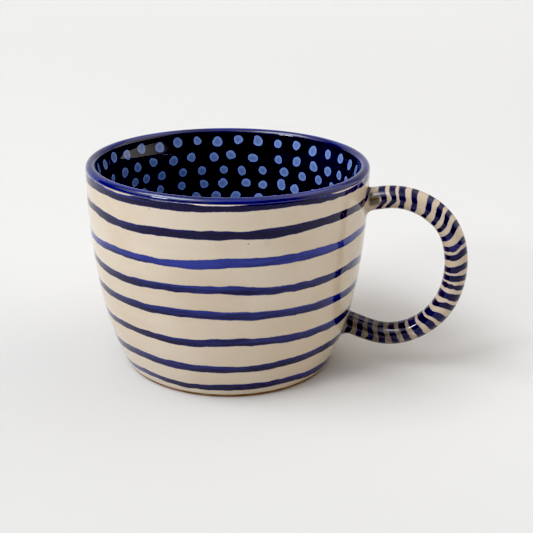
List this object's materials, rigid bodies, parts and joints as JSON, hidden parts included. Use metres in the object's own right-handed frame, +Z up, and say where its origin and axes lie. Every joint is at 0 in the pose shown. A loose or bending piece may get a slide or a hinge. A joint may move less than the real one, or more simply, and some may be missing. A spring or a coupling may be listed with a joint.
{
  "type": "stoneware mug",
  "caption": "Round-bellied glazed stoneware mug with a loop handle, hand-painted blue bands outside and a dark blue dotted lining.",
  "frame": {"origin": "centre of the foot ring, on the plane the mug stands on, on the axis of the turned body", "axes": "+Z up along the axis of the turned body, +X from the body's axis towards the handle, +Y to complete a right-handed frame"},
  "size_m": [0.1357, 0.1, 0.0744],
  "materials": {
    "stoneware": "fired buff stoneware clay, bare and matt where it shows on the foot ring",
    "luting_slip": "fired slip, smoothed into a fillet and glazed over",
    "clear_glaze": "glossy clear glaze on cream clay, with hand-painted cobalt bands",
    "cobalt_glaze": "glossy blue-black glaze with hand-dabbed pale blue dots and a blue rim band"
  },
  "bodies": {
    "root": {"body": "stoneware", "handle": "stoneware", "upper_handle_slip": "luting_slip", "lower_handle_slip": "luting_slip", "outer_glaze": "clear_glaze", "handle_glaze": "clear_glaze", "lining_glaze": "cobalt_glaze", "base_glaze": "clear_glaze"}
  },
  "joints": []
}
